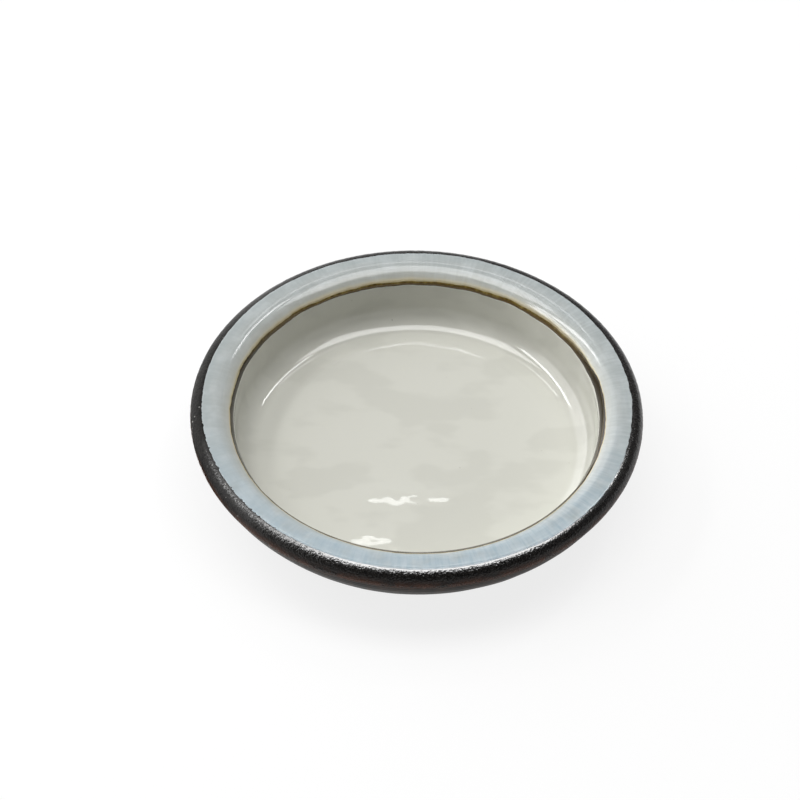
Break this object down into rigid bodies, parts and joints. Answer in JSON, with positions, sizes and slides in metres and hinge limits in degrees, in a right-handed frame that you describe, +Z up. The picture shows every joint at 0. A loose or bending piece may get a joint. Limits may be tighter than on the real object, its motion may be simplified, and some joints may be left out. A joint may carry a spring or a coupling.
{
  "type": "soy sauce dish",
  "caption": "Small round stoneware dish with a broad raised rim, a steep-walled well for sauce and a low foot ring, glazed pale inside and dark outside.",
  "frame": {"origin": "centre of the foot ring, on the surface that the dish stands on", "axes": "+Z up along the dish's turning axis; X and Y are free, as the dish is round"},
  "size_m": [0.1, 0.1, 0.02],
  "materials": {
    "stoneware_body": "fired stoneware clay, bare and finely gritty on the foot ring",
    "well_glaze": "glossy pale grey-white glaze with a few specks",
    "iron_line": "olive-brown iron band, uneven width",
    "rim_glaze": "glossy pale blue-grey glaze with fine streaks",
    "edge_glaze": "charcoal iron glaze, satin and grainy",
    "underside_glaze": "glossy dark brown iron glaze",
    "foot_recess_glaze": "glossy dark brown iron glaze"
  },
  "bodies": {
    "root": {"stoneware_body": "stoneware_body", "well_glaze": "well_glaze", "iron_line": "iron_line", "rim_glaze": "rim_glaze", "edge_glaze": "edge_glaze", "underside_glaze": "underside_glaze", "foot_recess_glaze": "foot_recess_glaze"}
  },
  "joints": []
}
